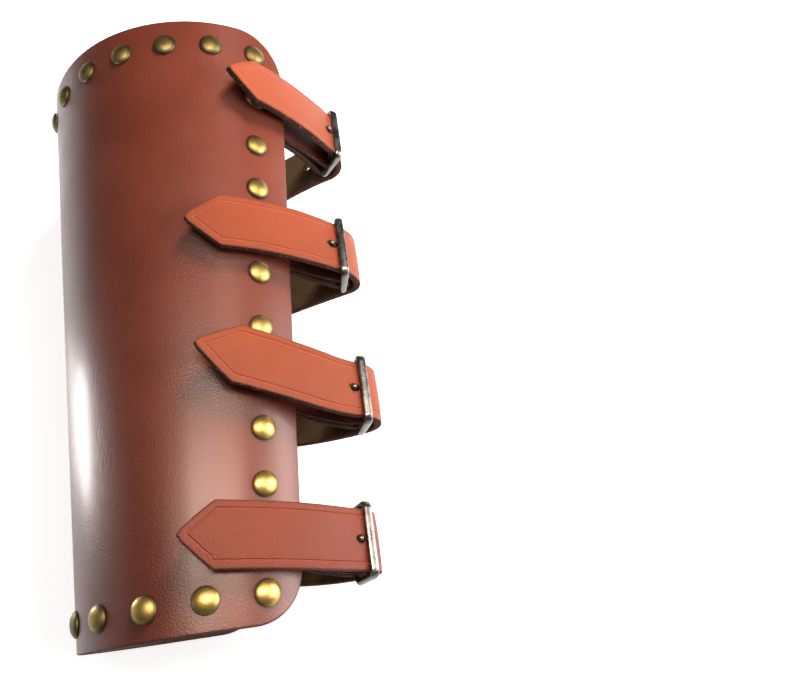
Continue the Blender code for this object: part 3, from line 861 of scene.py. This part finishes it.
def leather_grain_group():
    """Pores and fine wrinkles of the grain side, and slow blotches of the dye."""
    nodes, given, made = new_group(
        "leather_grain", {"Vector": None, "Wrinkle": 1.0}, ("Height", "Blotch", "Speck"))
    pores = nodes.add("ShaderNodeTexVoronoi", {"Vector": given["Vector"], "Scale": 1500.0},
                      feature="F1").outputs["Distance"]
    fine = nodes.noise(given["Vector"], 2600.0, 3.0, 0.6)
    wrinkle = nodes.noise(given["Vector"], 480.0, 4.0, 0.6, 0.8)
    height = nodes.math("ADD", nodes.math("MULTIPLY", pores, 0.8),
                        nodes.math("MULTIPLY", fine, 0.3))
    height = nodes.math("ADD", height, nodes.math("MULTIPLY", wrinkle, given["Wrinkle"]))
    blotch = nodes.noise(given["Vector"], 24.0, 4.0, 0.55)
    speck = nodes.fade(nodes.noise(given["Vector"], 900.0, 2.0, 0.5), 0.70, 0.76)
    for key, value in (("Height", height), ("Blotch", blotch), ("Speck", speck)):
        nodes.tree.links.new(value, made[key])
    return nodes.tree


def cut_edge_group():
    """Masks of cut leather: grain face, flesh face, raw edge and the rim beside it."""
    nodes, given, made = new_group(
        "cut_edge", {"Side": 1.0, "Inset": 1.0, "Rim": 0.001}, ("Flesh", "Edge", "Rim"))
    flesh = nodes.fade(given["Side"], 0.10, 0.02)
    grain = nodes.fade(given["Side"], 0.93, 0.985)
    edge = nodes.math("SUBTRACT", nodes.math("SUBTRACT", 1.0, flesh), grain, clamp=True)
    share = nodes.math("DIVIDE", given["Inset"], given["Rim"])
    rim = nodes.math("MULTIPLY", nodes.fade(share, 1.0, 0.2), grain)
    for key, value in (("Flesh", flesh), ("Edge", edge), ("Rim", rim)):
        nodes.tree.links.new(value, made[key])
    return nodes.tree


def fibre_group():
    """Fibres of raw leather: a matted nap with darker hollows."""
    nodes, given, made = new_group("raw_fibres", {"Vector": None}, ("Height", "Tone"))
    nap = nodes.noise(given["Vector"], 1500.0, 6.0, 0.7, 1.2)
    clumps = nodes.noise(given["Vector"], 260.0, 5.0, 0.65, 0.8)
    height = nodes.math("ADD", nap, nodes.math("MULTIPLY", clumps, 0.8))
    tone = nodes.math("ADD", nodes.math("MULTIPLY", nap, 0.75),
                      nodes.math("MULTIPLY", clumps, 0.25))
    nodes.tree.links.new(height, made["Height"])
    nodes.tree.links.new(tone, made["Tone"])
    return nodes.tree


GROUPS = {"grain": leather_grain_group(), "edge": cut_edge_group(), "fibres": fibre_group()}


def new_material(name, roughness, metallic=0.0, coat=0.0, coat_roughness=0.1, specular=0.5):
    """Material with its Principled shader's plain values set."""
    material = bpy.data.materials.new(name)
    material.use_nodes = True
    nodes = Nodes(material.node_tree)
    shader = material.node_tree.nodes["Principled BSDF"]
    shader.inputs["Roughness"].default_value = roughness
    shader.inputs["Metallic"].default_value = metallic
    shader.inputs["Coat Weight"].default_value = coat
    shader.inputs["Coat Roughness"].default_value = coat_roughness
    shader.inputs["Specular IOR Level"].default_value = specular
    return material, nodes, shader.inputs


def leather_material(name, light, dark, edge, flesh, roughness, coat, grain_depth, wrinkle,
                     crease):
    """Dyed leather: two tones of dye, a darker rim, raw edges and a flesh side."""
    material, nodes, into = new_material(name, roughness, coat=coat, coat_roughness=0.27,
                                         specular=0.25 if coat else 0.15)
    place = nodes.add("ShaderNodeTexCoord").outputs["Object"]
    side = nodes.add("ShaderNodeAttribute", attribute_name="side").outputs["Fac"]
    inset = nodes.add("ShaderNodeAttribute", attribute_name="inset").outputs["Fac"]
    grain = nodes.add("ShaderNodeGroup", node_tree=GROUPS["grain"])
    grain.inputs["Wrinkle"].default_value = wrinkle
    fibres = nodes.add("ShaderNodeGroup", node_tree=GROUPS["fibres"])
    cut = nodes.add("ShaderNodeGroup", node_tree=GROUPS["edge"])
    link = nodes.tree.links.new
    link(place, grain.inputs["Vector"])
    link(place, fibres.inputs["Vector"])
    link(side, cut.inputs["Side"])
    link(inset, cut.inputs["Inset"])
    cut.inputs["Rim"].default_value = RIM_WIDE
    blotch = nodes.fade(grain.outputs["Blotch"], 0.25, 0.75)
    colour = nodes.mix(blotch, (*dark, 1), (*light, 1))
    colour = nodes.mix(nodes.math("MULTIPLY", grain.outputs["Speck"], 0.25), colour,
                       (*(c * 0.35 for c in dark), 1))
    colour = nodes.mix(nodes.math("MULTIPLY", cut.outputs["Rim"], 0.55), colour,
                       (*(c * 0.45 for c in dark), 1))
    groove = 0.0
    if crease:
        away = nodes.math("ABSOLUTE", nodes.math("SUBTRACT", inset, CREASE_IN))
        groove = nodes.math("MULTIPLY", nodes.fade(away, 0.0005, 0.0001),
                            nodes.fade(side, 0.9, 0.97))
        colour = nodes.mix(nodes.math("MULTIPLY", groove, 0.35), colour,
                           (*(min(1.0, c * 1.5) for c in light), 1))
    tone = nodes.fade(fibres.outputs["Tone"], 0.35, 0.65)
    fibre = nodes.fade(fibres.outputs["Tone"], 0.55, 0.66)
    raw_edge = nodes.mix(fibre, (*edge, 1), (*(0.5 * a + 0.5 * b for a, b in zip(
        light, PALE_FIBRE)), 1))
    raw_flesh = nodes.mix(tone, (*(c * 0.6 for c in flesh), 1), (*flesh, 1))
    colour = nodes.mix(cut.outputs["Edge"], colour, raw_edge)
    colour = nodes.mix(cut.outputs["Flesh"], colour, raw_flesh)
    link(colour, into["Base Color"])
    raw = nodes.math("ADD", cut.outputs["Edge"], cut.outputs["Flesh"], clamp=True)
    rough = nodes.fade(grain.outputs["Blotch"], 0.3, 0.7, roughness - 0.05, roughness + 0.06)
    rough = nodes.math("ADD", rough, nodes.math("MULTIPLY", raw, 0.9 - roughness))
    link(rough, into["Roughness"])
    if coat:
        link(nodes.math("MULTIPLY", nodes.math("SUBTRACT", 1.0, raw), coat), into["Coat Weight"])
    height = nodes.math("MULTIPLY", grain.outputs["Height"], grain_depth)
    height = nodes.math("SUBTRACT", height, nodes.math("MULTIPLY", groove, GROOVE_DEPTH))
    nap = nodes.math("MULTIPLY", fibres.outputs["Height"], nodes.math("MULTIPLY", raw, NAP_DEPTH))
    link(nodes.bump(nodes.math("ADD", height, nap)), into["Normal"])
    return material


def brass_material():
    """Antique brass: polished crown, brown patina in blotches and at the rim, and a darkening set
    per rivet by its place in its row, which is partly patina and partly painted shade on rivets
    that catch less light.
    """
    material, nodes, into = new_material("antique_brass_finish", 0.28, metallic=1.0)
    place = nodes.add("ShaderNodeTexCoord").outputs["Object"]
    age_and_shade = nodes.add("ShaderNodeAttribute", attribute_name="age_and_shade").outputs["Fac"]
    rim = nodes.add("ShaderNodeAttribute", attribute_name="rim").outputs["Fac"]
    blotch = nodes.noise(place, 420.0, 5.0, 0.6)
    worn = nodes.add("ShaderNodeMath", {0: blotch, 1: 0.9, 2: -0.45}, operation="MULTIPLY_ADD")
    # The mix toward the dark colour is partly patina and partly painted shade, set by each rivet's
    # place in its row
    tarnish_and_shade_mix = nodes.math("ADD", nodes.math("MULTIPLY", age_and_shade, 0.75), worn.outputs[0])
    tarnish_and_shade_mix = nodes.math("ADD", tarnish_and_shade_mix, nodes.fade(rim, 0.72, 1.0, 0.0, 0.55), clamp=True)
    colour = nodes.mix(tarnish_and_shade_mix, BRASS, TARNISH_AND_SHADE)
    nodes.tree.links.new(colour, into["Base Color"])
    rough = nodes.fade(tarnish_and_shade_mix, 0.0, 1.0, 0.36, 0.50)
    nodes.tree.links.new(rough, into["Roughness"])
    scratch = nodes.noise(place, 3000.0, 3.0, 0.6)
    height = nodes.math("ADD", nodes.math("MULTIPLY", scratch, 0.000006),
                        nodes.math("MULTIPLY", blotch, 0.00006))
    nodes.tree.links.new(nodes.bump(height), into["Normal"])
    return material


def steel_material():
    """Gunmetal: dark oxide worn to brighter steel in patches."""
    material, nodes, into = new_material("gunmetal_finish", 0.3, metallic=1.0)
    place = nodes.add("ShaderNodeTexCoord").outputs["Object"]
    worn = nodes.fade(nodes.noise(place, 260.0, 4.0, 0.55), 0.35, 0.75)
    colour = nodes.mix(worn, DARK_STEEL, WORN_STEEL)
    nodes.tree.links.new(colour, into["Base Color"])
    nodes.tree.links.new(nodes.fade(worn, 0.0, 1.0, 0.26, 0.42), into["Roughness"])
    pits = nodes.noise(place, 1800.0, 4.0, 0.6)
    nodes.tree.links.new(nodes.bump(nodes.math("MULTIPLY", pits, 0.00005)), into["Normal"])
    return material


# Floor, lights and camera

def make_floor():
    """Plain pale floor that glows a little, as a light table does."""
    size = 3.0
    corners = np.array(((-1, -1, 0), (1, -1, 0), (1, 1, 0), (-1, 1, 0))) * size
    mesh = bpy.data.meshes.new("floor")
    mesh.from_pydata(corners.tolist(), [], [(0, 1, 2, 3)])
    floor = add_object("floor", mesh)
    material, _, into = new_material("floor_paper", 0.75)
    into["Base Color"].default_value = (0.90, 0.90, 0.90, 1)
    into["Emission Color"].default_value = (1, 1, 1, 1)
    into["Emission Strength"].default_value = 0.68
    mesh.materials.append(material)


def add_light(name, place, target, wide, tall, radiance, mirrored=True, lights=True,
              colour=(1.0, 1.0, 1.0)):
    """Soft box at a place, facing a target, with the radiance of its face.

    One that isn't mirrored leaves no highlight, and one that doesn't light is
    only seen in highlights.
    """
    light = bpy.data.lights.new(name, "AREA")
    light.shape = "RECTANGLE"
    light.size = wide
    light.size_y = tall
    light.energy = radiance * np.pi * wide * tall
    light.color = colour
    lamp = add_object(name, light)
    turn = (Vector(target) - Vector(place)).to_track_quat("-Z", "Y")
    lamp.matrix_world = Matrix.Translation(place) @ turn.to_matrix().to_4x4()
    lamp.visible_camera = False
    lamp.visible_glossy = mirrored
    lamp.visible_diffuse = lights


def make_lights():
    """Dim surroundings, an overhead box, a key beyond the elbow end, side boxes,
    and cards that only show as highlights on the shell's top and left side."""
    world = bpy.data.worlds.new("studio")
    bpy.context.scene.world = world
    world.use_nodes = True
    world.node_tree.nodes["Background"].inputs[0].default_value = (1, 1, 1, 1)
    world.node_tree.nodes["Background"].inputs[1].default_value = 0.12
    add_light("overhead", (0.19, 0.0, 0.70), (0.19, 0.0, 0.0), 0.62, 0.26, 2.4)
    add_light("overhead_card", (0.20, -0.050, 0.69), (0.20, -0.050, 0.0), 0.60, 0.11, 37.0,
              lights=False, colour=(1.0, 0.80, 0.65))
    add_light("side_card", (-0.16, -0.060, 0.67), (-0.16, -0.060, 0.0), 0.24, 0.10, 11.0,
              lights=False, colour=(1.0, 0.72, 0.55))
    add_light("elbow_card", (0.34, 0.22, 0.60), (0.34, 0.22, 0.0), 0.30, 0.12, 7.0,
              lights=False, colour=(1.0, 0.82, 0.68))
    add_light("key", (0.31, 0.50, 0.43), (0, 0, 0.06), 0.20, 0.20, 68.0, mirrored=False)
    add_light("left_box", (-0.60, -0.10, 0.20), (0, -0.02, 0.07), 0.30, 0.34, 0.6)
    add_light("left_card", (-0.20, 0.0, 0.010), (-0.06, -0.01, 0.05), 0.075, 0.06, 26.0,
              lights=False)
    add_light("low_card", (-0.17, -0.005, 0.004), (-0.17, -0.005, 1.0), 0.12, 0.075, 2.5,
              lights=False)
    add_light("right_box", (0.75, -0.12, 0.30), (0, -0.03, 0.06), 0.50, 0.50, 6.0)
    add_light("right_card", (0.75, 0.0, 0.22), (0, -0.03, 0.06), 0.40, 0.30, 12.0,
              lights=False, colour=(1.0, 0.90, 0.82))


def make_camera():
    """Camera at the photograph's viewing angle, above the wrist end."""
    data = bpy.data.cameras.new("camera")
    data.sensor_width = 36.0
    data.lens = 33.99
    data.clip_start = 0.01
    camera = add_object("camera", data)
    camera.location = (0.05877, -0.14666, 0.31885)
    camera.rotation_euler = (np.radians(90 - 65.29), 0, np.radians(-8.28))
    bpy.context.scene.camera = camera


def main():
    """Camera, lights and floor, then the finishes and the bracer's pieces."""
    make_camera()
    make_lights()
    make_floor()
    bpy.context.scene.view_settings.view_transform = "Standard"
    shell_leather = leather_material(
        "shell_leather_finish", light=(0.170, 0.031, 0.0140), dark=(0.135, 0.024, 0.0110),
        edge=(0.06, 0.020, 0.012), flesh=(0.20, 0.12, 0.07), roughness=0.42, coat=0.30,
        grain_depth=0.00010, wrinkle=0.15, crease=False)
    strap_leather = leather_material(
        "strap_leather_finish", light=(0.31, 0.061, 0.022), dark=(0.25, 0.047, 0.017),
        edge=(0.065, 0.020, 0.014), flesh=(0.15, 0.09, 0.045), roughness=0.50, coat=0.0,
        grain_depth=0.00013, wrinkle=0.9, crease=True)
    wrist_leather = leather_material(
        "wrist_strap_leather_finish", light=(0.240, 0.046, 0.020), dark=(0.190, 0.034, 0.015),
        edge=(0.110, 0.030, 0.019), flesh=(0.15, 0.09, 0.045), roughness=0.48, coat=0.0,
        grain_depth=0.00014, wrinkle=1.1, crease=True)
    chape_leather = leather_material(
        "chape_leather_finish", light=(0.13, 0.024, 0.017), dark=(0.09, 0.016, 0.012),
        edge=(0.05, 0.016, 0.012), flesh=(0.14, 0.08, 0.045), roughness=0.50, coat=0.0,
        grain_depth=0.00006, wrinkle=1.0, crease=False)
    brass = brass_material()
    steel = steel_material()
    make_shell(shell_leather)
    make_rivets(brass)
    for row in STRAPS:
        strap = dict(zip(STRAP_COLUMNS, row))
        make_strap(strap, wrist_leather if strap["name"] == "wrist" else strap_leather)
        make_chape(strap, chape_leather)
        make_buckle(strap, steel)
        make_prong(strap, steel)


main()
